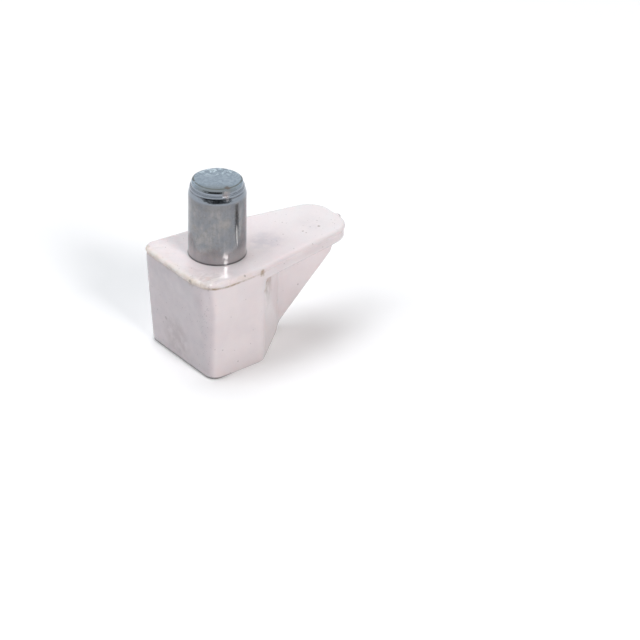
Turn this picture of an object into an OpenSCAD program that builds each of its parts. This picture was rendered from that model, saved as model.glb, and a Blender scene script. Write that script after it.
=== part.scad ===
// Shelf support pin: a moulded plastic bracket with a steel pin cast into its back.
// The pin stands in a hole of a cabinet's side wall, and a shelf lies against the bracket's
// broad end. Z runs along the pin. The seating face, which lies on the cabinet wall, is at
// z = 0, with the pin above it and the bracket below. X runs along the arm to its tip, and
// the end that carries the shelf faces -X. Both sides are mirror images about y = 0.

/* [Pin] */
// Diameter of the pin
pin_d = 5; // [4:0.1:6]
// Length of the pin that stands out of the bracket
pin_out = 7; // [6:0.1:10]
// Length of the rounded shoulder near the pin's free end
brow_l = 0.7; // [0.4:0.05:0.9]
// How far the rounded shoulder draws in from the pin's wall
brow_in = 0.17; // [0.1:0.01:0.3]
// Height of the raised end disc
disc_h = 0.48; // [0.3:0.02:0.8]
// How far the end disc stands back from the rounded shoulder
disc_in = 0.09; // [0.04:0.01:0.3]
// Edge radius of the end disc
disc_edge_r = 0.24; // [0.1:0.02:0.28]

/* [Shank in the plastic] */
// Length of the pin inside the bracket
shank_l = 6; // [5:0.1:7]
// Depth of the grooves that the plastic grips
groove_in = 0.4; // [0.2:0.05:0.7]
// Length of each groove
groove_l = 1.2; // [0.8:0.1:1.4]
// Length of the land between the grooves
land_l = 0.8; // [0.5:0.1:1]
// Bevel at the buried end
shank_bevel = 0.4; // [0.2:0.05:0.7]
// Gap that the plastic leaves round the shank
cast_gap = 0.01; // [0.005:0.005:0.05]

/* [Back plate] */
// Width over the rim at the shelf end
plate_w = 9.9; // [9:0.1:12]
// Distance from the pin's axis to the shelf end
shelf_x = 4.65; // [4:0.05:6]
// Distance from the pin's axis to the shoulders
shoulder_x = 1.2; // [0.8:0.1:2]
// Width across the shoulders
shoulder_w = 9.4; // [8.6:0.1:10]
// Distance from the pin's axis to the tip
tip_x = 12.6; // [12:0.1:16]
// Width of the tip
tip_w = 6; // [5:0.1:7]
// Thickness of the plate
plate_t = 1.4; // [1.1:0.1:2]
// Plan radius of the corners at the shelf end
plate_corner_r = 1.2; // [1:0.1:2.5]
// Plan radius of the shoulders
shoulder_r = 1.3; // [0.4:0.1:1.6]
// Plan radius of the tip's corners
tip_r = 2.2; // [1.2:0.1:2.4]
// Edge radius round the seating face
rim_r = 0.35; // [0.2:0.05:0.5]
// How far the rim stands out past the wall below it
rim_step = 0.1; // [0.02:0.01:0.15]
// Edge radius round the plate's underside
lip_r = 0.3; // [0.1:0.05:0.5]

/* [Block] */
// Depth from the seating face to the front face
body_h = 9.4; // [8.5:0.1:12]
// How far the shelf face leans in, from back to front
shelf_draft = 0.65; // [0:0.05:0.9]
// How far each side leans in, from back to front
side_draft = 0.1; // [0:0.02:0.4]
// Plan radius of the corners at the front face
front_corner_r = 1; // [0.3:0.05:1.2]
// Edge radius round the front face
front_r = 0.25; // [0.1:0.05:0.3]

/* [Bow and web] */
// Angle of the bow's sides to the arm
bow_a = 41; // [36:1:50]
// Radius where the bow runs out into the web
bow_r = 0.8; // [0.8:0.1:2.5]
// Thickness of the web
web_t = 1.6; // [1.3:0.1:2.2]
// Slope of the web's front edge
web_a = 44; // [38:1:46]
// Distance from the pin's axis to where the front face turns up into the web's slope
nose_x = 5.5; // [4.5:0.1:6]
// Radius between the front face and the web's sloping edge
nose_r = 0.4; // [0.2:0.1:2]
// How far the web ends short of the tip
web_back = 0.7; // [0.4:0.1:1.2]
// Radius at the web's end
web_end_r = 0.9; // [0.5:0.1:1.2]

/* [Front recess and gate mark] */
// Diameter of the recess in the front face
recess_d = 5.9; // [5:0.1:6.4]
// Depth of the recess
recess_h = 0.4; // [0.2:0.05:0.7]
// How much wider the recess is at its mouth than at its floor
recess_flare = 0.16; // [0:0.02:0.3]
// Diameter of the gate mark at the tip
gate_d = 0.8; // [0.5:0.05:1]
// How far the gate mark's centre lies past the tip
gate_out = 0.2; // [0.05:0.05:0.25]

/* [Hidden] */
// Facets round the rounded corners, round the true circles, and along one quarter arc
SOFT_FN = 32;
ROUND_FN = 96;
ARC_STEPS = 6;
// Sections along the bow and web
STATIONS = 44;
// Edge radius under the rim
rim_foot_r = 0.05;
// Overlap between pieces of one moulding, and of a cut with what it cuts
LAP = 0.5;

pin_r = pin_d / 2;
brow_r = pin_r - brow_in;
disc_r = brow_r - disc_in;
wall_w = plate_w - 2 * rim_step;
wall_x = shelf_x - rim_step;
waist_w = shoulder_w - 2 * rim_step;

// The bow starts tangent to the rounded shoulder, and would meet the web at bow_end_x
bow_y = waist_w / 2 - shoulder_r * (1 - cos(bow_a));
bow_start_x = shoulder_x + shoulder_r * sin(bow_a);
bow_end_x = bow_start_x + (bow_y - web_t / 2) / tan(bow_a);
bow_run = bow_r * tan(bow_a / 2);
nose_run = nose_r * tan(web_a / 2);
web_end_x = tip_x - web_back;
end_arc_x = web_end_x - web_end_r;

// Points along an arc about [cx, cy], from angle a0 to angle a1
function arc(cx, cy, r, a0, a1) = [
    for (i = [0 : ARC_STEPS])
        let (a = a0 + (a1 - a0) * i / ARC_STEPS)
            [cx + r * cos(a), cy + r * sin(a)]
];

// Half width of the bow and web at x: straight side, hollow arc, then the web
function bow_half_w(x) =
    x < bow_end_x - bow_run * cos(bow_a) ? bow_y - (x - bow_start_x) * tan(bow_a)
    : x < bow_end_x + bow_run
        ? web_t / 2 + bow_r - sqrt(pow(bow_r, 2) - pow(bow_end_x + bow_run - x, 2))
        : web_t / 2;

// Height of the sloping edge at x, were it straight
function slope_z(x) = -body_h + (x - nose_x) * tan(web_a);

// Height of the front edge at x: front face, rounded nose, slope, then the web's round end
function front_z(x) =
    let (arc_z = slope_z(end_arc_x) + web_end_r / cos(web_a))
    x < nose_x - nose_run ? -body_h
    : x < nose_x + nose_run * cos(web_a)
        ? -body_h + nose_r - sqrt(pow(nose_r, 2) - pow(x - nose_x + nose_run, 2))
    : x < end_arc_x + web_end_r * sin(web_a) ? slope_z(x)
    : arc_z - sqrt(max(0, pow(web_end_r, 2) - pow(x - end_arc_x, 2)));

// One section across the bow or web at x, from the plate down to the front edge and back up
function bow_section(x, half_w) =
    let (
        z = front_z(x),
        foot = half_w - side_draft * -z / body_h,
        right = arc(foot - front_r, z + front_r, front_r, 0, -90),
        left = arc(front_r - foot, z + front_r, front_r, -90, -180)
    )
    concat([[half_w, -plate_t / 2]], right, left, [[-half_w, -plate_t / 2]]);

// Disc with a rounded rim at its top and at its foot, from z0 up to z1
module soft_disc(r, z0, z1, top_r, foot_r) {
    rotate_extrude($fn = SOFT_FN)
        polygon(concat(
            [[0, z0]],
            arc(r - foot_r, z0 + foot_r, foot_r, -90, 0),
            arc(r - top_r, z1 - top_r, top_r, 0, 90),
            [[0, z1]]
        ));
}

// Copies its children to both sides, at x, with a circle of radius r just inside the width w
module both_sides(x, w, r) {
    for (side = [-1, 1])
        translate([x, side * (w / 2 - r), 0]) children();
}

// One layer of the back plate, drawn in by inset: its plan is wrapped round six circles
module plate_layer(inset, z0, z1, top_r, foot_r) {
    hull() {
        both_sides(plate_corner_r - shelf_x, plate_w - 2 * inset, plate_corner_r - inset)
            soft_disc(plate_corner_r - inset, z0, z1, top_r, foot_r);
        both_sides(shoulder_x, shoulder_w - 2 * inset, shoulder_r)
            soft_disc(shoulder_r, z0, z1, top_r, foot_r);
        both_sides(tip_x - tip_r, tip_w - 2 * inset, tip_r - inset)
            soft_disc(tip_r - inset, z0, z1, top_r, foot_r);
    }
}

// Back plate: a rounded rim on a wall that stands back a little below it
module plate() {
    plate_layer(0, -rim_r - rim_foot_r, 0, rim_r, rim_foot_r);
    plate_layer(rim_step, -plate_t, -rim_r, rim_foot_r, lip_r);
}

// Block below the rim: wide soft corners at the back, drawn in to small ones at the front
module block() {
    front_top = front_corner_r + front_r - body_h;
    hull() {
        both_sides(plate_corner_r - shelf_x, wall_w, plate_corner_r - rim_step)
            soft_disc(plate_corner_r - rim_step, -plate_t, -rim_r, rim_foot_r, rim_foot_r);
        both_sides(shoulder_x, waist_w, shoulder_r)
            soft_disc(shoulder_r, -plate_t, -rim_r, rim_foot_r, rim_foot_r);
        both_sides(front_corner_r + shelf_draft - wall_x, wall_w - 2 * side_draft, front_corner_r)
            soft_disc(front_corner_r, -body_h, front_top, front_r, front_r);
        both_sides(shoulder_x, waist_w - 2 * side_draft, shoulder_r)
            soft_disc(shoulder_r, -body_h, front_top, front_r, front_r);
    }
}

// Bow and web: one loft along the arm, from inside the block to the web's end
module bow_and_web() {
    step = (web_end_x - bow_start_x) / STATIONS;
    sections = concat(
        [[bow_start_x - LAP, bow_section(bow_start_x, bow_y - LAP)]],
        [for (i = [0 : STATIONS])
            let (x = bow_start_x + i * step)
                [x, bow_section(x, bow_half_w(x))]]
    );
    n = len(sections[0][1]);
    last = len(sections) - 1;
    polyhedron(
        points = [for (s = sections, p = s[1]) [s[0], p[0], p[1]]],
        faces = concat(
            [[for (j = [n - 1 : -1 : 0]) j]],
            [for (i = [0 : last - 1], j = [0 : n - 1])
                let (k = (j + 1) % n)
                    each [
                        [i * n + j, i * n + k, (i + 1) * n + j],
                        [i * n + k, (i + 1) * n + k, (i + 1) * n + j]
                    ]],
            [[for (j = [0 : n - 1]) last * n + j]]
        )
    );
}

// Radius of the shank in its grooves, or of its cavity there
function groove_r(gap) = pin_r + gap - groove_in;

// Half section of the buried shank, from the seating face down to the axis, with the
// grooves that hold it. A gap makes the section larger all round, for its cavity.
function shank_section(gap) =
    let (
        land_r = pin_r + gap,
        groove_2_z = -groove_l - land_l,
        end_z = -shank_l - gap
    )
    [
        [groove_r(gap), 0],
        [groove_r(gap), gap - groove_l],
        [land_r, gap - groove_l],
        [land_r, groove_2_z - gap],
        [groove_r(gap), groove_2_z - gap],
        [groove_r(gap), groove_2_z - groove_l + gap],
        [land_r, groove_2_z - groove_l + gap],
        [land_r, end_z + shank_bevel],
        [land_r - shank_bevel, end_z],
        [0, end_z]
    ];

// Half section of the pin outside the bracket, from the axis down to the seating face
function free_end_section() =
    let (disc_z = pin_out - disc_h)
    concat(
        [[0, pin_out]],
        arc(disc_r - disc_edge_r, pin_out - disc_edge_r, disc_edge_r, 90, 0),
        [[disc_r, disc_z]],
        [for (p = arc(0, 0, 1, 90, 0))
            [brow_r + brow_in * p[0], disc_z - brow_l * (1 - p[1])]],
        [[pin_r, 0]]
    );

// Cavity that the shank fills, carried on up through the seating face
module shank_cavity() {
    rotate_extrude($fn = ROUND_FN)
        polygon(concat([[0, LAP], [groove_r(cast_gap), LAP]], shank_section(cast_gap)));
}

module bracket() {
    color([0.93, 0.88, 0.89])
        difference() {
            union() {
                plate();
                block();
                bow_and_web();
                translate([tip_x + gate_out, 0, -plate_t / 2])
                    sphere(d = gate_d, $fn = ROUND_FN);
            }
            shank_cavity();
            translate([0, 0, -body_h])
                cylinder(h = recess_h, d1 = recess_d + recess_flare, d2 = recess_d, $fn = ROUND_FN);
        }
}

module pin() {
    color([0.6, 0.64, 0.7])
        rotate_extrude($fn = ROUND_FN) polygon(concat(free_end_section(), shank_section(0)));
}

bracket();
pin();
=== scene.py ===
"""Looks for the shelf support pin: a moulded plastic bracket and the steel pin cast into it.

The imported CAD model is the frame. Each of its two nodes is replaced by a finer piece, and a floor,
soft light and a camera are set round them.

Sizes and places are in millimetres and angles in degrees. The pin stands along Z and the arm runs
along X. The bracket's seating face is at z = 0, and its shelf end faces -X.
"""

import math

import bpy
import numpy as np
from mathutils import Matrix, Vector, noise


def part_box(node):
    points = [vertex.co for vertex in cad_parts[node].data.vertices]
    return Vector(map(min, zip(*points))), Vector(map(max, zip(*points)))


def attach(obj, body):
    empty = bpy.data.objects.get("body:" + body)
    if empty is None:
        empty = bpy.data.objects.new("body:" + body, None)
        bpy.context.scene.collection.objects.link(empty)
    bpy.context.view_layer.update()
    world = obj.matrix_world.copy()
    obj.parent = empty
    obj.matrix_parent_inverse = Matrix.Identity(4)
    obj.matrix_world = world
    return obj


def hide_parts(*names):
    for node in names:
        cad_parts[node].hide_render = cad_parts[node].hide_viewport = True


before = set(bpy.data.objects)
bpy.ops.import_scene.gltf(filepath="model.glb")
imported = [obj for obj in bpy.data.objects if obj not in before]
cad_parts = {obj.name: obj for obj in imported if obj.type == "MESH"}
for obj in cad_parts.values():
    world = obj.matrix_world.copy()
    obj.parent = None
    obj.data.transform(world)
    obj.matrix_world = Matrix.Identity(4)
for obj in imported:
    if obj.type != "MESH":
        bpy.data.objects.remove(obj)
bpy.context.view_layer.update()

MM = 0.001                                 # Blender's unit is the metre
BRACKET_LO, BRACKET_HI = (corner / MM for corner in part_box("bracket"))
FRONT_Z = BRACKET_LO.z                     # the front face, which stands on the floor
PIN_LO, PIN_HI = (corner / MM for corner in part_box("pin"))
PIN_TOP, SHANK_END, PIN_R = PIN_HI.z, PIN_LO.z, PIN_HI.x

# How finely the bracket is meshed, and how many steps the pin is turned in
VOXEL, QUICK_VOXEL = 0.096, 0.12
TURNS, QUICK_TURNS = 256, 128

# The bracket: how far its faces are uneven, how deep its pits, nicks and wrinkles are, and how far
# the plate's worn corner is rubbed back
UNEVEN, PITS, NICKS, WRINKLES = 0.012, 0.03, 0.05, 0.16
CORNER_WEAR = 0.50

# The radius of the recess' floor, the height of the step under the rim, where dirt collects, and
# the height of the plate's underside, under which shade is painted
RECESS_R = 2.9
RIM_FOOT_Z, UNDERSIDE_Z = -0.50, -1.45

# The pin's free end: a shoulder, and a raised disc on it. IN is how far each draws in from the
# radius of what is below it.
DISC_H, DISC_IN = 0.48, 0.09
SHOULDER_H, SHOULDER_IN = 0.7, 0.17
DISC_Z = PIN_TOP - DISC_H
SHOULDER_Z = DISC_Z - SHOULDER_H
SHOULDER_R = PIN_R - SHOULDER_IN
DISC_R = SHOULDER_R - DISC_IN
EDGE_IN, EDGE_DOWN = 0.115, 0.065          # the rounding of the disc's edge

# How far the pin's end, shoulder and wall are uneven, how far its end droops on one side, and how
# far its shoulder leans for each millimetre of height
END_UNEVEN, SHOULDER_UNEVEN, WALL_UNEVEN = 0.014, 0.007, 0.003
DROOP, LEAN = 0.05, 0.022

# The grooves round the pin's buried end: number, depth, length and pitch, and the end's bevel
GROOVES, GROOVE_IN, GROOVE_L, GROOVE_PITCH = 2, 0.4, 1.2, 2.0
SHANK_BEVEL = 0.4

# Two sides of the pin, as unit vectors in plan, a quarter turn apart. Its end is frosted on the
# first and droops on the opposite one. The second is the side by the arm's -Y edge. LOPSIDED is how
# far the droop, and the dull ring on the end, are shifted to the first side for their radius.
FROSTED_SIDE = 0.605, 0.797
ARM_SIDE = 0.797, -0.605
LOPSIDED = 0.2

# The floor: its width, how much it glows, and the distances over which it turns to pure white
FLOOR_W = 3000
FLOOR_GLOW = 0.18
FLOOR_FADES = 90.0, 300.0

# Two dark boards that only reflections see: where each stands round the object, the height of its
# foot, and its size. The card is narrower at its top.
CARD_AZ, CARD_DIST, CARD_Z = -41, 450, FRONT_Z
CARD_W, CARD_TOP_W, CARD_H = 1800, 800, 150
FLAG_AZ, FLAG_DIST, FLAG_Z = 42, 16.5, -5.0
FLAG_W, FLAG_H = 5.2, 2.8

LAMPS = (
    # name, azimuth, elevation, distance, width, radiance, colour, seen in reflections
    ("window_back", 163, 68, 600, 420, 3.85, (0.94, 0.965, 1.0), False),
    ("window_left", -110, 57, 600, 350, 3.65, (0.94, 0.965, 1.0), False),
    ("small_lamp", -1, 35.5, 600, 150, 25.5, (1.0, 0.965, 0.96), True),
)

# The camera: where it looks from, how far it is moved across its own view, its lens and sensor,
# and the nearest and farthest that it sees
CAM_AZ, CAM_EL, CAM_ROLL = -37.2, 30.1, 1.0
CAM_DIST, CAM_RIGHT, CAM_UP = 350.0, 8.80, -5.86
CAM_LENS, CAM_SENSOR = 229.95, 36
CAM_NEAR, CAM_FAR = 10, 10000


# ---------------------------------------------------------------- meshes

def new_object(name, data):
    """An object linked into the scene."""
    obj = bpy.data.objects.new(name, data)
    bpy.context.scene.collection.objects.link(obj)
    return obj


def evaluated_mesh(obj):
    """The mesh of an object with its modifiers applied."""
    bpy.context.view_layer.update()
    depsgraph = bpy.context.evaluated_depsgraph_get()
    return bpy.data.meshes.new_from_object(obj.evaluated_get(depsgraph), depsgraph=depsgraph)


def points_and_normals(mesh):
    """The places and the normals of a mesh's vertices, one row for each."""
    points = np.zeros(len(mesh.vertices) * 3, np.float32)
    normals = np.zeros_like(points)
    mesh.vertices.foreach_get("co", points)
    mesh.vertex_normals.foreach_get("vector", normals)
    return points.reshape(-1, 3).astype(float), normals.reshape(-1, 3).astype(float)


def reshaped(name, mesh, points, lowest, highest):
    """A smooth-shaded object from a mesh and new points, kept inside a box and put in metres."""
    points = np.clip(points, lowest, highest) * MM
    mesh.vertices.foreach_set("co", points.astype(np.float32).ravel())
    mesh.polygons.foreach_set("use_smooth", [True] * len(mesh.polygons))
    mesh.update()
    return new_object(name, mesh)


def field(points, scale, seed, octaves):
    """Smooth noise from about -1 to 1 at each point, with scale lumps to the millimetre."""
    shift = Vector((seed * 17.3, seed * -9.1, seed * 5.7))
    return np.array([noise.fractal(Vector(p) * scale + shift, 1.0, 2.0, octaves) for p in points])


def smoothstep(a, b, x):
    """Goes smoothly from 0 to 1 as x goes from a to b."""
    t = np.clip((x - a) / (b - a), 0, 1)
    return t * t * (3 - 2 * t)


# ---------------------------------------------------------------- the bracket's shape

def fine_bracket():
    """The CAD bracket in millimetres, meshed finely, with its edges softened."""
    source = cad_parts["bracket"].data.copy()
    source.materials.clear()
    source.transform(Matrix.Scale(1 / MM, 4))
    draft = new_object("draft", source)
    remesh = draft.modifiers.new("remesh", "REMESH")
    remesh.mode = "VOXEL"
    remesh.voxel_size = VOXEL
    soften = draft.modifiers.new("soften", "SMOOTH")
    soften.factor = 0.5
    soften.iterations = 4
    mesh = evaluated_mesh(draft)
    bpy.data.objects.remove(draft)
    return mesh


def bracket_moulding():
    """The moulding, with its faces a little uneven, its rim nicked and one corner worn."""
    mesh = fine_bracket()
    points, normals = points_and_normals(mesh)
    x, y, z = points.T
    r = np.hypot(x, y)
    push = UNEVEN * (field(points, 0.35, 1, 2) - 0.4)

    # The cast floor of the recess is pitted
    on_floor = (normals[:, 2] < -0.7) & (z > FRONT_Z + 0.25) & (z < FRONT_Z + 0.6)
    push += np.where(on_floor & (r < RECESS_R), PITS * field(points, 1.7, 2, 4), 0)

    # The rim is nicked and worn towards the shelf end
    rim = smoothstep(0.75, 0.35, np.abs(z + 0.3)) * smoothstep(3.0, -3.0, x) * smoothstep(2.9, 3.6, r)
    push -= rim * NICKS * np.clip(field(points, 1.3, 3, 4), 0, 1)

    # One corner of the plate is rubbed round and wrinkled
    from_corner = np.hypot(x - BRACKET_LO.x, y - BRACKET_LO.y)
    worn = smoothstep(2.7, 0.3, from_corner) * smoothstep(-3.2, -0.7, z)
    wrinkled = worn * smoothstep(-0.7, -0.4, z)
    creases = np.clip(0.35 - np.abs(field(points * [0.5, 1.3, 1.3], 1.4, 4, 3)), 0, 1)
    push -= wrinkled * WRINKLES * creases
    points = points + normals * push[:, None]
    points[:, :2] += (CORNER_WEAR * worn / math.sqrt(2))[:, None]
    return reshaped("bracket_moulding", mesh, points, BRACKET_LO, BRACKET_HI)


# ---------------------------------------------------------------- the pin's shape

def stretch(start, end, count, bow=0.0, first=0.0):
    """Points along a stretch of outline, which bows out between its ends by a quarter of bow."""
    (r0, z0), (r1, z1) = start, end
    return [(r0 + (r1 - r0) * t + bow * t * (1 - t), z0 + (z1 - z0) * t)
            for t in np.linspace(first, 1, count)]


def disc_outline():
    """Half section of the raised disc, from the axis out and down to the step on to the shoulder."""
    edge_r = DISC_R - 0.055 - EDGE_IN
    outline = stretch((0, PIN_TOP), (edge_r, PIN_TOP), 28)
    outline += [(edge_r + EDGE_IN * math.sin(a), PIN_TOP - EDGE_DOWN * (1 - math.cos(a)))
                for a in np.linspace(0.2, 1.3, 6)]
    # Its side leans in a little before it stands upright
    outline += stretch((DISC_R - 0.0565, PIN_TOP - 0.06), (DISC_R, PIN_TOP - 0.25), 8, bow=0.006)
    outline += stretch((DISC_R, PIN_TOP - 0.28), (DISC_R, DISC_Z + 0.06), 4)
    return outline + [(DISC_R + 0.01, DISC_Z + 0.02)]


def shoulder_outline():
    """Half section of the shoulder, which is nearly a cone and turns into the wall with a soft bend."""
    bend = PIN_R - 0.046, DISC_Z - 0.53
    outline = [(DISC_R + 0.04, DISC_Z), (SHOULDER_R, DISC_Z - 0.02)]
    outline += stretch((SHOULDER_R, DISC_Z - 0.04), (SHOULDER_R + 0.025, DISC_Z - 0.17), 4)
    outline += stretch((SHOULDER_R + 0.03, DISC_Z - 0.19), bend, 14, bow=0.0075)
    outline += stretch(bend, (PIN_R, DISC_Z - 0.87), 8, bow=0.046, first=0.12)
    return outline


def wall_outline():
    """The wall, from below the shoulder down to the plate."""
    return stretch((PIN_R, SHOULDER_Z - 0.20), (PIN_R, 0.02), 34) + [(PIN_R - 0.005, 0.0)]


def shank_outline():
    """Half section of the buried end, from the plate down to the axis, with its grooves."""
    core = PIN_R - GROOVE_IN
    outline = [(core, 0.0)]
    for k in range(GROOVES):
        top = -k * GROOVE_PITCH
        outline += [(core, top - 0.02), (core, top - GROOVE_L)]
        outline += [(PIN_R, top - GROOVE_L), (PIN_R, top - GROOVE_PITCH + 0.02)]
    outline += [(PIN_R, SHANK_END + SHANK_BEVEL), (PIN_R - SHANK_BEVEL, SHANK_END), (0, SHANK_END)]
    return outline


def revolved(name, outline, turns):
    """A closed skin round Z. The outline starts and ends on the axis, and nowhere else touches it."""
    rings = outline[1:-1]
    angles = np.arange(turns) * 2 * math.pi / turns
    points = [(0, 0, outline[0][1])]
    points += [(r * math.cos(a), r * math.sin(a), z) for r, z in rings for a in angles]
    points += [(0, 0, outline[-1][1])]
    last = len(points) - 1
    faces = [(0, 1 + i, 1 + (i + 1) % turns) for i in range(turns)]
    for k in range(len(rings) - 1):
        a, b = 1 + k * turns, 1 + (k + 1) * turns
        faces += [(a + i, b + i, b + (i + 1) % turns, a + (i + 1) % turns) for i in range(turns)]
    tail = 1 + (len(rings) - 1) * turns
    faces += [(last, tail + (i + 1) % turns, tail + i) for i in range(turns)]
    mesh = bpy.data.meshes.new(name)
    mesh.from_pydata(points, [], faces)
    mesh.update()
    return mesh


def steel_pin():
    """The pin as one revolved skin, with a struck end and a slightly uneven wall."""
    outline = disc_outline() + shoulder_outline() + wall_outline() + shank_outline()
    mesh = revolved("steel_pin", outline, TURNS)
    points, normals = points_and_normals(mesh)
    x, y, z = points.T
    end = smoothstep(PIN_TOP - 0.3, PIN_TOP - 0.05, z)
    shoulder = smoothstep(PIN_TOP - 1.3, PIN_TOP - 0.9, z) * (1 - end)
    wall = (z > 0.02) & (z < PIN_TOP - 1.2)
    push = end * (END_UNEVEN * field(points, 1.1, 5, 4) - 0.012)
    push += shoulder * SHOULDER_UNEVEN * field(points, 1.6, 6, 3)
    push += np.where(wall, WALL_UNEVEN * (field(points * [1.6, 1.6, 0.2], 1.0, 7, 2) - 1), 0)

    # The end was struck a little off centre, so the land round its edge droops on one side
    from_blow = np.hypot(x, y) - LOPSIDED * (x * FROSTED_SIDE[0] + y * FROSTED_SIDE[1])
    push -= DROOP * smoothstep(1.5, 2.4, from_blow) * (normals[:, 2] > 0.5)
    points = points + normals * push[:, None]

    # The shoulder leans a little away from the arm
    lean = LEAN * np.clip(z - (PIN_TOP - 1.2), 0, 0.6)
    points[:, :2] -= np.outer(lean, ARM_SIDE)
    return reshaped("steel_pin", mesh, points, PIN_LO, PIN_HI)


# ---------------------------------------------------------------- node graphs

class Graph:
    """A short way to write the nodes of a material or of the world."""

    def __init__(self, owner):
        self.owner = owner
        owner.use_nodes = True
        self.tree = owner.node_tree
        self.tree.nodes.clear()

    def locate(self):
        """Sets p, the object position in millimetres, its x, y and z, and r, its distance from Z."""
        coordinates = self.tree.nodes.new("ShaderNodeTexCoord")
        self.p = self.scaled(coordinates.outputs["Object"], 1 / MM)
        parts = self.tree.nodes.new("ShaderNodeSeparateXYZ")
        self.put(parts.inputs[0], self.p)
        self.x, self.y, self.z = parts.outputs
        self.r = self.math("SQRT", self.add(self.mul(self.x, self.x), self.mul(self.y, self.y)))
        return self

    def put(self, socket, value):
        """Links another node's output to a socket, or sets the socket to a plain value."""
        if isinstance(value, bpy.types.NodeSocket):
            self.tree.links.new(value, socket)
        elif isinstance(value, tuple) and len(value) == 3 and socket.type == "RGBA":
            socket.default_value = (*value, 1)
        else:
            socket.default_value = value

    def node(self, kind, out=0, props=None, **inputs):
        """A new node's output. Its inputs are named with _ for a space, or numbered as in i0."""
        made = self.tree.nodes.new(kind)
        for key, value in (props or {}).items():
            setattr(made, key, value)
        for key, value in inputs.items():
            numbered = key[0] == "i" and key[1:].isdigit()
            self.put(made.inputs[int(key[1:]) if numbered else key.replace("_", " ")], value)
        return made.outputs[out]

    def math(self, operation, a, b=0.0):
        return self.node("ShaderNodeMath", props={"operation": operation}, i0=a, i1=b)

    def mul(self, first, *others):
        for other in others:
            first = self.math("MULTIPLY", first, other)
        return first

    def add(self, first, *others):
        for other in others:
            first = self.math("ADD", first, other)
        return first

    def step(self, x, a, b, lo=0.0, hi=1.0):
        """Goes smoothly from lo to hi as x goes from a to b."""
        return self.node("ShaderNodeMapRange", props={"interpolation_type": "SMOOTHSTEP"},
                         i0=x, i1=a, i2=b, i3=lo, i4=hi)

    def band(self, x, centre, half, soft):
        """1 within half of centre, and 0 past a soft edge."""
        away = self.math("ABSOLUTE", self.math("SUBTRACT", x, centre))
        return self.step(away, half, half + soft, 1.0, 0.0)

    def spot(self, points, place, half, soft):
        """1 within half of a place, and 0 past a soft edge."""
        away = self.node("ShaderNodeVectorMath", 1, {"operation": "DISTANCE"}, i0=points, i1=place)
        return self.step(away, half, half + soft, 1.0, 0.0)

    def towards(self, side):
        """How far the point lies from Z towards a side of the pin."""
        return self.add(self.mul(self.x, side[0]), self.mul(self.y, side[1]))

    def ragged(self, seed, scale=2.2, reach=0.5):
        """The positions pushed about, so that spots measured from them get ragged edges."""
        start = self.moved(self.p, (seed, -seed, seed * 0.5))
        wander = self.node("ShaderNodeTexNoise", 1, Vector=start, Scale=scale, Detail=4.0, Roughness=0.6)
        return self.moved(self.p, self.scaled(self.moved(wander, (-0.5, -0.5, -0.5)), 2 * reach))

    def mix(self, share, a, b):
        """The colour a with a share of the colour b."""
        made = self.tree.nodes.new("ShaderNodeMix")
        made.data_type = "RGBA"
        self.put(made.inputs[0], share)
        self.put(made.inputs[6], a)
        self.put(made.inputs[7], b)
        return made.outputs[2]

    def scaled(self, points, by):
        by = by if isinstance(by, tuple) else (by, by, by)
        return self.node("ShaderNodeVectorMath", props={"operation": "MULTIPLY"}, i0=points, i1=by)

    def moved(self, points, by):
        return self.node("ShaderNodeVectorMath", props={"operation": "ADD"}, i0=points, i1=by)

    def noise(self, scale, detail=3.0, rough=0.5, seed=0.0, warp=0.0, squeeze=None):
        """Noise from 0 to 1, with scale lumps to the millimetre, times squeeze along each axis."""
        points = self.scaled(self.p, squeeze) if squeeze else self.p
        points = self.moved(points, (seed * 13.1, seed * 7.7, seed * -4.3))
        return self.node("ShaderNodeTexNoise", Vector=points, Scale=scale, Detail=detail,
                         Roughness=rough, Distortion=warp)

    def cells(self, scale, seed):
        """Distance to scattered points, and a random value for each."""
        made = self.tree.nodes.new("ShaderNodeTexVoronoi")
        self.put(made.inputs["Vector"], self.moved(self.p, (seed * 11.3, seed * -5.9, seed * 3.1)))
        self.put(made.inputs["Scale"], scale)
        pick = self.node("ShaderNodeSeparateColor", Color=made.outputs["Color"])
        return made.outputs["Distance"], pick

    def bump(self, height, strength, distance):
        return self.node("ShaderNodeBump", Height=height, Strength=strength, Distance=distance * MM)

    def seen(self):
        """1 for camera, glossy and transmission rays, and 0 for those that light the object."""
        path = self.tree.nodes.new("ShaderNodeLightPath")
        either = self.math("MAXIMUM", path.outputs["Is Camera Ray"], path.outputs["Is Glossy Ray"])
        return self.math("MAXIMUM", either, path.outputs["Is Transmission Ray"])

    def finish(self, shader, output="ShaderNodeOutputMaterial"):
        """Joins the shader to the output, and returns the finished material or world."""
        out = self.tree.nodes.new(output)
        self.tree.links.new(shader, out.inputs["Surface"])
        return self.owner


# ---------------------------------------------------------------- the plastic

DULL_WHITE, CLEAN_WHITE = (0.82, 0.745, 0.753), (0.865, 0.792, 0.798)
CLOUDY_PINK, GRAINY_BROWN = (0.76, 0.69, 0.74), (0.58, 0.52, 0.53)
ARM_WHITE = (0.86, 0.83, 0.825)
RIM_CREAM_HIGHLIGHT, RIM_YELLOW = (0.87, 0.80, 0.74), (0.70, 0.60, 0.48)
PAINTED_FACE_SHADE, SCUFF_BROWN = (0.56, 0.515, 0.55), (0.48, 0.40, 0.41)
PAINTED_CREST_HIGHLIGHT, PAINTED_CREASE_SHADE = (0.93, 0.89, 0.84), (0.62, 0.54, 0.49)
GRIME_BROWN, PAINTED_UNDER_ARM_SHADE, PAINTED_CONTACT_SHADOW = (0.33, 0.23, 0.14), (0.48, 0.39, 0.38), (0.13, 0.115, 0.11)
SPECK_BROWN, FLECK_BROWN = (0.24, 0.20, 0.20), (0.22, 0.16, 0.13)
GATE_GREY, RING_GREY = (0.24, 0.21, 0.22), (0.25, 0.23, 0.235)

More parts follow.
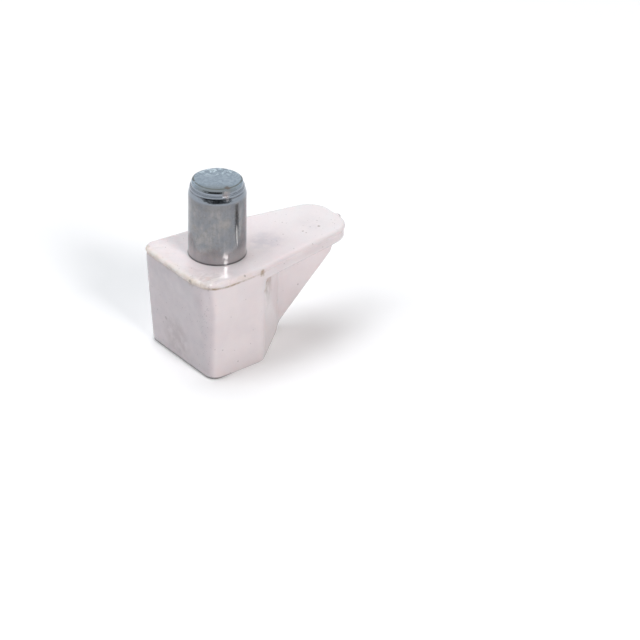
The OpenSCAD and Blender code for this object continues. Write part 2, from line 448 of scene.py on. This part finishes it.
GRIME_SPOTS = (
    # place on the rim or in the step under it, half width
    ((-4.64, 1.0, -0.40), 0.12),
    ((-4.64, -2.5, -0.34), 0.20),
    ((-4.5, 4.3, -0.25), 0.16),
    ((-4.6, -0.6, -0.42), 0.08),
    ((1.54, -4.6, -0.48), 0.06),
)
STAINS_AND_PAINTED_SHADE = (
    # place, half width, width of its soft edge, colour, strength
    # Painted shadow of the plate's lip on the bow, brownish, where the bow leaves the side
    ((2.50, -3.90, -2.45), 0.48, 0.5, (0.37, 0.29, 0.20), 0.85),
    ((3.10, -3.40, -2.35), 0.45, 0.5, (0.43, 0.35, 0.27), 0.70),
    ((3.0, -3.4, -3.4), 0.5, 1.3, (0.50, 0.42, 0.40), 0.50),
    # Smudges low and high on the shelf face
    ((-4.1, 0.3, -7.2), 0.7, 1.8, (0.41, 0.31, 0.29), 0.60),
    ((-4.5, 1.5, -1.6), 0.3, 1.5, (0.62, 0.58, 0.64), 0.30),
    # A painted shadow of the pin on the arm, grey-violet, and a grey smear further along it
    ((4.4, -0.9, 0.0), 0.5, 1.7, (0.57, 0.54, 0.60), 0.45),
    ((9.5, -0.6, 0.0), 0.4, 1.6, (0.58, 0.54, 0.56), 0.18),
)
SPECKS = (
    # scattered points to the millimetre, seed, half width against their spacing, share that show
    (1.3, 5, 0.13, 0.07),
    (2.6, 6, 0.20, 0.04),
    (4.5, 9, 0.24, 0.03),
)
FLECKS = (
    # place, half width
    ((-4.16, 1.73, -6.0), 0.10),
    ((9.84, -1.37, 0), 0.07),
    ((8.18, -1.30, 0), 0.04),
    ((-0.44, -4.68, -0.10), 0.05),
    ((-4.64, -2.5, -0.30), 0.12),
)


def clean_plastic(g, blotch, grain, on_top):
    """The moulding's own colour, a little uneven. The arm has yellowed less than the rest."""
    broad = g.noise(0.28, 3, seed=1)
    colour = g.mix(g.step(broad, 0.35, 0.65), DULL_WHITE, CLEAN_WHITE)
    colour = g.mix(g.step(blotch, 0.40, 0.80, 0, 0.22), colour, CLOUDY_PINK)
    grainy = g.mul(g.step(grain, 0.40, 0.75), g.add(0.05, g.mul(on_top, 0.11)))
    colour = g.mix(grainy, colour, GRAINY_BROWN)
    arm = g.mul(on_top, g.step(g.x, 5.0, 9.0))
    return g.mix(g.mul(arm, 0.45), colour, ARM_WHITE)


def rim_grime(g, rag, shelf_end):
    """Grime caught in the step under the rim, strongest at the shelf end and its worn corner."""
    patchy = g.step(g.noise(0.9, 4, 0.7, seed=4), 0.42, 0.62)
    amount = g.add(g.mul(shelf_end, 0.35), g.mul(patchy, 0.65))
    grime = g.mul(g.band(g.z, RIM_FOOT_Z, 0.04, 0.12), amount, g.add(0.15, shelf_end))
    for place, size in GRIME_SPOTS:
        grime = g.math("MAXIMUM", grime, g.spot(rag, place, size, 0.35))
    return grime


def rim_yellowing_and_highlight(g, colour, blotch, shelf_end):
    """Yellowing along the worn rim, and cream where it turns into the shelf face, partly a painted
    highlight of the rounded rim.
    """
    rim = g.mul(g.band(g.z, -0.28, 0.16, 0.16), g.step(g.r, 3.2, 4.4), shelf_end)
    # Cream along the rim at the shelf end: partly worn cream, partly a painted highlight of the rounding
    colour = g.mix(g.mul(rim, g.step(g.x, -3.8, -4.3), 0.7), colour, RIM_CREAM_HIGHLIGHT)
    return g.mix(g.mul(rim, g.step(blotch, 0.40, 0.70), 0.5), colour, RIM_YELLOW)


def stains_and_painted_shade(g, colour, rag, blotch):
    """Soft stains and painted shadows, and painted shade in the corner between the arm's underside and
    its web.
    """
    # Some entries are stains and some are painted shadows
    for place, half, soft, tone, strength in STAINS_AND_PAINTED_SHADE:
        stain_and_shade = g.mul(g.spot(rag, place, half, soft), g.step(blotch, 0.30, 0.62))
        colour = g.mix(g.mul(stain_and_shade, strength), colour, tone)
    # Painted shade in the corner under the arm's underside, where its lip shades the web
    painted_under_arm_shade = g.mul(g.band(g.z, UNDERSIDE_Z, 0.06, 0.14), g.step(g.x, 2.6, 3.6),
                      g.step(blotch, 0.25, 0.60, 0.25, 0.55))
    return g.mix(painted_under_arm_shade, colour, PAINTED_UNDER_ARM_SHADE)


def specked(g, colour, shelf_face, on_arm):
    """Small dark specks: a few everywhere, more down the worn corner and on the arm, and some flecks."""
    down_corner = g.mul(g.band(g.x, -4.3, 0.3, 0.4), g.band(g.y, -4.2, 0.4, 0.5))
    for scale, seed, size, share in SPECKS:
        away, pick = g.cells(scale, seed)
        kept = g.add(share, g.mul(down_corner, 0.50), g.mul(on_arm, 0.14), g.mul(shelf_face, 0.08))
        dot = g.mul(g.step(away, size, size * 0.45), g.math("LESS_THAN", pick, kept))
        colour = g.mix(g.mul(dot, 0.55), colour, SPECK_BROWN)
    rag = g.ragged(5.0, 7.0, 0.12)
    for place, size in FLECKS:
        colour = g.mix(g.mul(g.spot(rag, place, size, 0.10), 0.6), colour, FLECK_BROWN)
    return colour


def scuffs(g, shelf_face, on_arm):
    """Thin rubbed lines in two directions, most of them on the shelf face and the arm."""
    level = g.noise(1.2, 4, 0.65, seed=7, warp=0.3, squeeze=(0.5, 0.5, 5.0))
    upright = g.noise(1.0, 4, 0.65, seed=8, warp=0.3, squeeze=(4.0, 4.0, 0.4))
    lines = g.add(g.step(level, 0.66, 0.80), g.mul(g.step(upright, 0.66, 0.80), 0.6))
    return g.mul(lines, g.add(0.06, g.mul(shelf_face, 0.4), g.mul(on_arm, 0.3)))


def scuffs_and_painted_shade(g, colour, blotch, scuff, shelf_face):
    """Scuffs, painted shade that greys the shelf face, and a painted contact shadow on the edge that
    stands on the table.
    """
    colour = g.mix(g.mul(scuff, 0.32), colour, SCUFF_BROWN)
    # Painted shade greys the shelf face below the rim
    below_rim = g.step(g.z, -0.42, -0.62)
    grey = g.mul(shelf_face, below_rim, g.step(blotch, 0.2, 0.8, 0.43, 0.60))
    colour = g.mix(grey, colour, PAINTED_FACE_SHADE)
    # A painted contact shadow along the edge that stands on the table
    foot = g.mul(g.step(g.z, FRONT_Z + 0.30, FRONT_Z + 0.14), g.step(g.x, -1.0, -3.2))
    return g.mix(g.mul(foot, 0.92), colour, PAINTED_CONTACT_SHADOW)


def plastic():
    """Off-white gloss plastic, yellowed, rubbed and dirty, with painted shade, shadows and highlights.
    """
    g = Graph(bpy.data.materials.new("moulded_plastic")).locate()
    blotch = g.noise(1.1, 5, 0.6, seed=2)
    grain = g.noise(9.0, 3, 0.6, seed=3)
    rag = g.ragged(3.0)
    on_top = g.step(g.z, -0.3, -0.1)
    on_arm = g.mul(on_top, g.step(g.x, 6.0, 8.5))
    shelf_end = g.step(g.x, 3.5, -2.5)
    shelf_face = g.step(g.x, -3.4, -3.9)
    grime = rim_grime(g, rag, shelf_end)
    scuff = scuffs(g, shelf_face, on_arm)

    colour = clean_plastic(g, blotch, grain, on_top)
    colour = g.mix(g.mul(grime, 0.85), colour, GRIME_BROWN)
    colour = rim_yellowing_and_highlight(g, colour, blotch, shelf_end)
    colour = stains_and_painted_shade(g, colour, rag, blotch)
    colour = specked(g, colour, shelf_face, on_arm)
    colour = scuffs_and_painted_shade(g, colour, blotch, scuff, shelf_face)

    # Wrinkles across the worn corner, with painted highlights on their crests and painted shade in their
    # creases
    corner = g.spot(g.p, (BRACKET_LO.x + 0.8, BRACKET_LO.y + 0.4, 0), 0.9, 2.2)
    worn = g.mul(corner, g.step(g.z, -0.55, -0.25))
    folds = g.noise(1.0, 3, 0.5, seed=16, warp=0.5, squeeze=(0.45, 1.0, 0.8))
    painted_crest_highlight = g.mul(worn, g.band(folds, 0.54, 0.0, 0.06))
    crease_and_shade = g.mul(worn, g.band(folds, 0.46, 0.0, 0.06))
    colour = g.mix(g.mul(painted_crest_highlight, 0.5), colour, PAINTED_CREST_HIGHLIGHT)
    colour = g.mix(g.mul(crease_and_shade, 0.30), colour, PAINTED_CREASE_SHADE)

    # The sheared face of the gate mark
    sheared = g.step(g.noise(4.0, 4, seed=10), 0.42, 0.56)
    gate = g.mul(g.spot(g.p, (BRACKET_HI.x, 0, -0.7), 0.42, 0.08), sheared)
    colour = g.mix(g.mul(gate, 0.8), colour, GATE_GREY)

    # A dark line where the plastic meets the steel
    ring = g.mul(g.band(g.r, PIN_R, 0.03, 0.05), on_top)
    colour = g.mix(g.mul(ring, 0.6), colour, RING_GREY)

    rough = g.add(0.07, g.mul(blotch, 0.10), g.mul(scuff, 0.25), g.mul(grime, 0.3))
    height = g.add(g.mul(crease_and_shade, -3.5), g.mul(blotch, 0.6), g.mul(grain, 0.25),
                   g.mul(scuff, -0.5), g.mul(grime, -0.4))
    shader = g.node("ShaderNodeBsdfPrincipled", Base_Color=colour, Roughness=rough,
                    Normal=g.bump(height, 0.3, 0.03), IOR=1.5, Subsurface_Weight=0.25,
                    Subsurface_Radius=(1.0, 0.55, 0.5), Subsurface_Scale=0.6 * MM)
    return g.finish(shader)


# ---------------------------------------------------------------- the steel

WALL_DARK, WALL_LIGHT = (0.235, 0.240, 0.258), (0.325, 0.315, 0.312)
DRAWN_GREY, MOTTLE_BLUE, WARM_GREY = (0.20, 0.20, 0.20), (0.215, 0.230, 0.255), (0.33, 0.31, 0.29)
HIGH_GREY, DULL_GREY = (0.17, 0.175, 0.19), (0.19, 0.185, 0.175)
PAINTED_PLATE_REFLECTION, LOW_DIRT = (0.52, 0.51, 0.51), (0.07, 0.07, 0.075)
# The blue of the shoulder and of the struck end is a painted reflection of bluish window light
SHOULDER_BLUE = (0.275, 0.308, 0.35)
END_DARK, END_LIGHT, END_PAINTED_SHADE = (0.25, 0.315, 0.38), (0.335, 0.405, 0.475), (0.20, 0.225, 0.24)
FROST_BLUE, LAND_GREY = (0.62, 0.75, 0.82), (0.11, 0.12, 0.105)
BURR_BROWN, TORN_BROWN, SEAM_GREY = (0.13, 0.10, 0.08), (0.30, 0.26, 0.25), (0.10, 0.10, 0.11)
PAINTED_HIGHLIGHT_WHITE = (0.92, 0.90, 0.89)


def steel_wall(g, drawn, fine, mottle):
    """The pin's wall: grey zinc with drawing marks along it, darker below the shoulder, and a painted
    reflection of the plate near its foot.
    """
    colour = g.mix(g.step(drawn, 0.35, 0.65), WALL_DARK, WALL_LIGHT)
    colour = g.mix(g.step(fine, 0.50, 0.72, 0, 0.35), colour, DRAWN_GREY)
    colour = g.mix(g.step(mottle, 0.40, 0.62, 0, 0.65), colour, MOTTLE_BLUE)
    broad = g.noise(0.7, 4, 0.6, seed=15)
    colour = g.mix(g.step(broad, 0.52, 0.70, 0, 0.5), colour, WARM_GREY)
    colour = g.mix(g.step(g.z, PIN_TOP - 2.2, PIN_TOP - 1.5, 0, 0.35), colour, HIGH_GREY)
    patches = g.noise(3.5, 4, 0.7, seed=17)
    colour = g.mix(g.step(patches, 0.48, 0.64, 0, 0.40), colour, DULL_GREY)

    # Near the foot the side by the arm is lighter, a painted reflection of the plate, and dirt lies in
    # the corner with the plastic
    low = g.step(g.z, 1.8, 0.3, 0, 0.8)
    colour = g.mix(g.mul(low, g.step(g.towards(ARM_SIDE), -0.9, 0.9, 0.60, 1.0)), colour, PAINTED_PLATE_REFLECTION)
    corner = g.mul(g.step(g.z, 0.20, 0.04), g.step(fine, 0.2, 0.6, 0.55, 0.8))
    return g.mix(corner, colour, LOW_DIRT)


def steel_end(g, mottle, frost):
    """The struck end: frosted on one side and darkened on the other by painted shade, with a dull ring
    near its edge.
    """
    across = g.towards(FROSTED_SIDE)
    colour = g.mix(g.step(frost, 0.42, 0.60), END_DARK, END_LIGHT)
    # Painted shade on the side of the end away from the frost
    colour = g.mix(g.step(across, -0.6, -1.9, 0, 0.9), colour, END_PAINTED_SHADE)
    crust = g.mul(g.step(frost, 0.48, 0.58), g.step(across, 0.5, 1.3))
    colour = g.mix(g.mul(crust, 0.75), colour, FROST_BLUE)
    from_blow = g.add(g.r, g.mul(across, -LOPSIDED))
    land = g.mul(g.band(from_blow, 2.05, 0.04, 0.08), g.step(mottle, 0.30, 0.55))
    return g.mix(g.mul(land, 0.85), colour, LAND_GREY)


def steel():
    """Zinc-plated steel, drawn along the pin, with marks from the blow that spread its end, and painted
    reflections, a painted highlight and painted shade.
    """
    g = Graph(bpy.data.materials.new("zinc_plated_steel")).locate()
    drawn = g.noise(1.0, 4, 0.55, seed=11, squeeze=(1.6, 1.6, 0.25))
    fine = g.noise(1.0, 3, 0.6, seed=12, squeeze=(14.0, 14.0, 1.2))
    mottle = g.noise(1.3, 5, 0.65, seed=13, warp=0.4)
    frost = g.noise(2.4, 6, 0.72, seed=14, warp=0.8)
    shoulder = g.step(g.z, PIN_TOP - 1.35, PIN_TOP - 1.0)
    disc = g.step(g.z, PIN_TOP - 0.30, PIN_TOP - 0.12)
    colour = g.mix(shoulder, steel_wall(g, drawn, fine, mottle), SHOULDER_BLUE)
    colour = g.mix(disc, colour, steel_end(g, mottle, frost))

    # A brown burr on the end's edge, a torn patch below it, and a dull line round the shoulder
    burr = g.spot(g.ragged(2.0, 3.0, 0.3), (-0.14, -1.66, PIN_TOP), 0.08, 0.28)
    colour = g.mix(g.mul(burr, 0.8), colour, BURR_BROWN)
    patch = g.spot(g.ragged(4.0, 3.0, 0.45), (-0.62, -2.2, PIN_TOP - 0.42), 0.12, 0.45)
    torn = g.mul(patch, g.step(frost, 0.40, 0.52))
    colour = g.mix(g.mul(torn, 0.7), colour, TORN_BROWN)
    seam = g.mul(g.band(g.z, PIN_TOP - 0.74, 0.025, 0.05), g.step(mottle, 0.3, 0.55))
    colour = g.mix(g.mul(seam, 0.7), colour, SEAM_GREY)

    # A painted highlight down the wall: a thin bright line, a little off plumb
    across = g.add(g.x, g.mul(g.add(g.z, -2.6), 0.055))
    painted_highlight_line = g.mul(g.step(g.y, -2.0, -2.3), g.band(across, 0.28, 0.025, 0.06),
                    g.band(g.z, 2.6, 0.6, 0.6), g.step(fine, 0.25, 0.5))
    colour = g.mix(g.mul(painted_highlight_line, 0.95), colour, PAINTED_HIGHLIGHT_WHITE)

    rough = g.add(g.step(g.z, PIN_TOP - 1.0, PIN_TOP - 1.5, 0.09, 0.15),
                  g.mul(g.step(fine, 0.35, 0.75), 0.05), g.mul(mottle, 0.06), g.mul(disc, 0.06),
                  g.mul(painted_highlight_line, 0.25), g.mul(torn, 0.35), g.step(g.z, 1.4, 0.4, 0, -0.08))
    height = g.add(g.mul(fine, 0.06), g.mul(drawn, 0.25), g.mul(mottle, 0.35), g.mul(frost, disc, 1.2))
    shader = g.node("ShaderNodeBsdfPrincipled", Base_Color=colour, Roughness=rough, Metallic=1.0,
                    Normal=g.bump(height, 0.3, 0.015))
    return g.finish(shader)


# ---------------------------------------------------------------- what stands round the object

def direction(azimuth, elevation):
    """From the object towards a place at that azimuth and elevation."""
    a, e = math.radians(azimuth), math.radians(elevation)
    return Vector((math.sin(a) * math.cos(e), -math.cos(a) * math.cos(e), math.sin(e)))


def quad(name, corners):
    """A flat object with four corners."""
    mesh = bpy.data.meshes.new(name)
    mesh.from_pydata([Vector(corner) * MM for corner in corners], [], [(0, 1, 2, 3)])
    return new_object(name, mesh)


def paper():
    """The white floor. Camera, glossy and transmission rays see it a little brighter than it is lit,
    and pure white far from the object."""
    g = Graph(bpy.data.materials.new("white_paper")).locate()
    seen = g.seen()
    fibre = g.noise(0.8, 4, seed=21)
    lit = g.node("ShaderNodeBsdfDiffuse", Color=g.mix(fibre, (0.85, 0.85, 0.85), (0.88, 0.88, 0.88)))
    glow = g.node("ShaderNodeEmission", Color=(1, 1, 1), Strength=g.mul(seen, FLOOR_GLOW))
    near = g.node("ShaderNodeAddShader", i0=lit, i1=glow)
    far = g.node("ShaderNodeEmission", Color=(1, 1, 1), Strength=1.0)
    away = g.node("ShaderNodeVectorMath", 1, {"operation": "LENGTH"}, i0=g.p)
    share = g.mul(seen, g.step(away, *FLOOR_FADES))
    return g.finish(g.node("ShaderNodeMixShader", i0=share, i1=near, i2=far))


def black_cloth():
    """The cloth on the dark boards."""
    g = Graph(bpy.data.materials.new("black_cloth")).locate()
    weave = g.noise(0.5, 3, seed=31)
    tone = g.mix(weave, (0.010, 0.011, 0.012), (0.020, 0.021, 0.022))
    return g.finish(g.node("ShaderNodeBsdfDiffuse", Color=tone))


def dark_board(name, azimuth, distance, foot_z, width, top_width, height):
    """An upright dark board that faces the object, and that only reflections see."""
    board = quad(name, [(-width / 2, 0, 0), (width / 2, 0, 0),
                        (top_width / 2, 0, height), (-top_width / 2, 0, height)])
    board.location = direction(azimuth, 0) * distance * MM
    board.location.z = foot_z * MM
    board.rotation_euler.z = math.radians(azimuth)
    board.visible_camera = False
    board.visible_diffuse = False
    board.visible_shadow = False
    board.data.materials.append(black_cloth())
    return board


def studio_world():
    """A world that lights nothing, and that camera, glossy and transmission rays see white."""
    g = Graph(bpy.data.worlds.new("studio"))
    background = g.node("ShaderNodeBackground", Color=(1, 1, 1), Strength=g.seen())
    return g.finish(background, "ShaderNodeOutputWorld")


def add_lamp(name, azimuth, elevation, distance, width, radiance, tint, reflected):
    """A square lamp that faces the object."""
    side = width * MM
    data = bpy.data.lights.new(name, "AREA")
    data.shape = "SQUARE"
    data.size = side
    data.energy = radiance * math.pi * side ** 2
    data.color = tint
    lamp = new_object(name, data)
    lamp.location = direction(azimuth, elevation) * distance * MM
    lamp.rotation_mode = "QUATERNION"
    lamp.rotation_quaternion = direction(azimuth, elevation).to_track_quat("Z", "Y")
    lamp.visible_glossy = reflected


def photo_camera():
    """The camera at the photograph's viewing angle and distance."""
    back = direction(CAM_AZ, CAM_EL)
    level = direction(CAM_AZ + 90, 0)
    upright = back.cross(level)
    roll = math.radians(CAM_ROLL)
    right = level * math.cos(roll) + upright * math.sin(roll)
    up = upright * math.cos(roll) - level * math.sin(roll)
    data = bpy.data.cameras.new("camera")
    data.sensor_width = CAM_SENSOR
    data.lens = CAM_LENS
    data.clip_start = CAM_NEAR * MM
    data.clip_end = CAM_FAR * MM
    camera = new_object("camera", data)
    camera.matrix_world = Matrix((right, up, back)).transposed().to_4x4()
    camera.location = (right * CAM_RIGHT + up * CAM_UP + back * CAM_DIST) * MM
    return camera


# ---------------------------------------------------------------- the object

bracket = bracket_moulding()
bracket.data.materials.append(plastic())
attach(bracket, "root")
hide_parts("bracket")

pin = steel_pin()
pin.data.materials.append(steel())
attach(pin, "root")
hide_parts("pin")


# ---------------------------------------------------------------- floor, light and camera

half = FLOOR_W / 2
floor = quad("floor", [(-half, -half, 0), (half, -half, 0), (half, half, 0), (-half, half, 0)])
floor.location.z = FRONT_Z * MM
floor.data.materials.append(paper())

# The card is the dark side of the room, behind the camera
card = dark_board("dark_card", CARD_AZ, CARD_DIST, CARD_Z, CARD_W, CARD_TOP_W, CARD_H)

# The flag darkens a streak down the pin's wall, as a second support lying by the arm would
flag = dark_board("dark_flag", FLAG_AZ, FLAG_DIST, FLAG_Z, FLAG_W, FLAG_W, FLAG_H)

bpy.context.scene.world = studio_world()
for lamp in LAMPS:
    add_lamp(*lamp)

bpy.context.scene.camera = photo_camera()
bpy.context.scene.view_settings.view_transform = "Standard"
